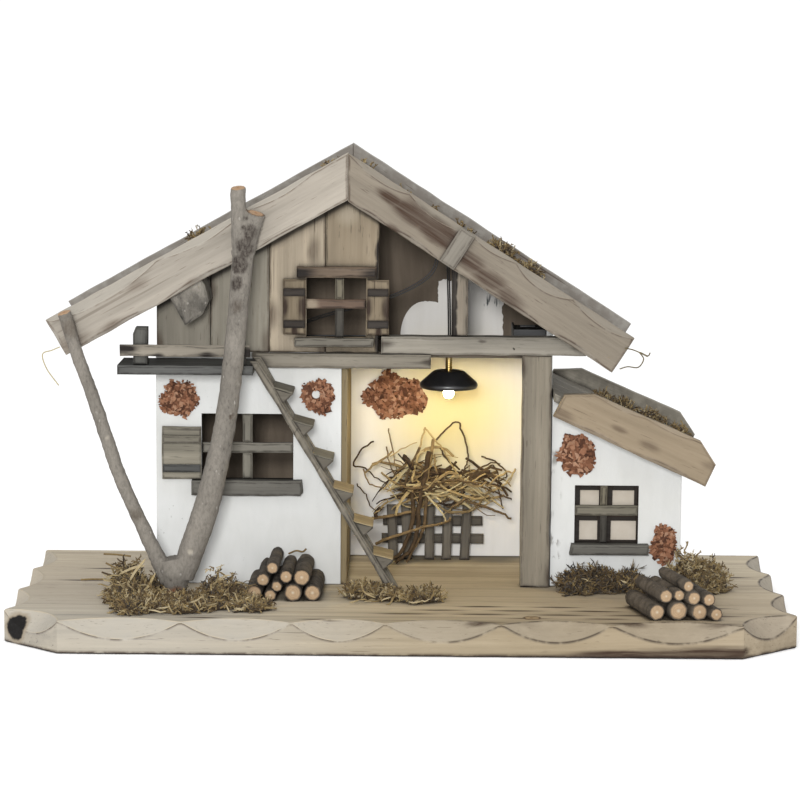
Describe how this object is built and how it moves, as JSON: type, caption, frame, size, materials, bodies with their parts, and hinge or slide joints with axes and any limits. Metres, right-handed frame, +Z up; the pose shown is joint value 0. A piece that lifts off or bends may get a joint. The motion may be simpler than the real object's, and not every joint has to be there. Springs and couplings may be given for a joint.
{
  "type": "nativity stable",
  "caption": "Wooden nativity stable: plastered house with timber gable, pitched roof, open stall with hanging lamp, lean-to annex, balcony, stair and log dressing on a carved board.",
  "frame": {"origin": "middle of the base board's underside", "axes": "+X to the right seen from the front, +Y to the back, +Z up"},
  "size_m": [0.6, 0.28, 0.369],
  "materials": {
    "base_pine": "grey-beige stained pine, carved edges",
    "white_plaster": "board brushed with white plaster",
    "stained_board": "taupe stained board, part painted white",
    "weathered_timber": "grey weathered stain",
    "roof_timber": "tan-grey stain with singed streaks",
    "burnt_timber": "singed and charcoal stained",
    "bark": "natural bark, cut ends bare",
    "moss": "dried moss",
    "hay": "dry twigs and straw",
    "terracotta_crumb": "terracotta bark crumbs",
    "parchment": "matt beige sheet",
    "brass": "bright thread",
    "black_enamel": "satin black",
    "bulb_glass": "clear, lit",
    "black_rubber": "matt insulation",
    "staple_steel": "bright",
    "black_plastic": "fine matt",
    "cell_jacket": "plain printed-free jacket"
  },
  "bodies": {
    "stable": {"base_board": "base_pine", "left_front_wall": "white_plaster", "left_side_wall": "white_plaster", "right_wall": "white_plaster", "annex_front_wall": "white_plaster", "annex_side_wall": "white_plaster", "back_wall": "stained_board", "partition_wall": "stained_board", "loft_floor": "stained_board", "tie_beam": "weathered_timber", "lintel_beam": "weathered_timber", "king_post": "weathered_timber", "door_post": "weathered_timber", "gable_plank_1": "weathered_timber", "gable_plank_2": "weathered_timber", "gable_plank_3": "weathered_timber", "gable_plank_4": "weathered_timber", "stair_stringers": "weathered_timber", "stair_treads": "weathered_timber", "hay_rack": "weathered_timber", "left_window_bars": "weathered_timber", "left_window_sill": "weathered_timber", "left_window_shutter": "weathered_timber", "annex_window_bars": "weathered_timber", "annex_window_sill": "weathered_timber", "left_roof_panel": "roof_timber", "right_roof_panel": "roof_timber", "front_left_fascia": "roof_timber", "front_right_upper_fascia": "roof_timber", "front_right_lower_fascia": "roof_timber", "fascia_joint_block": "roof_timber", "rear_left_fascia": "roof_timber", "rear_right_fascia": "roof_timber", "annex_roof_panel": "roof_timber", "annex_front_fascia": "roof_timber", "annex_rear_fascia": "roof_timber", "balcony_floor": "burnt_timber", "balcony_railing": "burnt_timber", "gable_window_bars": "burnt_timber", "gable_window_trim": "burnt_timber", "gable_shutters": "burnt_timber", "forked_branch": "bark", "left_purlin": "bark", "left_log_pile": "bark", "right_log_pile": "bark", "ground_moss": "moss", "roof_moss": "moss", "hay_bundle": "hay", "brick_patches": "terracotta_crumb", "annex_window_pane": "parchment", "lamp_lead": "black_rubber", "lead_staples": "staple_steel", "battery_contacts": "staple_steel", "battery_case": "black_plastic", "battery_cells": "cell_jacket"},
    "lamp": {"lamp_socket": "brass", "lamp_shade": "black_enamel", "lamp_bulb": "bulb_glass"},
    "lid": {"battery_lid": "black_plastic"},
    "switch": {"battery_switch": "black_plastic"}
  },
  "joints": [
    {"name": "lamp_swing", "type": "hinge", "parent": "stable", "child": "lamp", "pos_m": [0.0367, 0.0367, 0.206], "axis": [0, 1, 0], "range_deg": [-20, 20]},
    {"name": "lid_slide", "type": "slide", "parent": "stable", "child": "lid", "axis": [0, 1, 0], "range_m": [0, 0.05]},
    {"name": "switch_slide", "type": "slide", "parent": "stable", "child": "switch", "axis": [1, 0, 0], "range_m": [0, 0.004]}
  ]
}
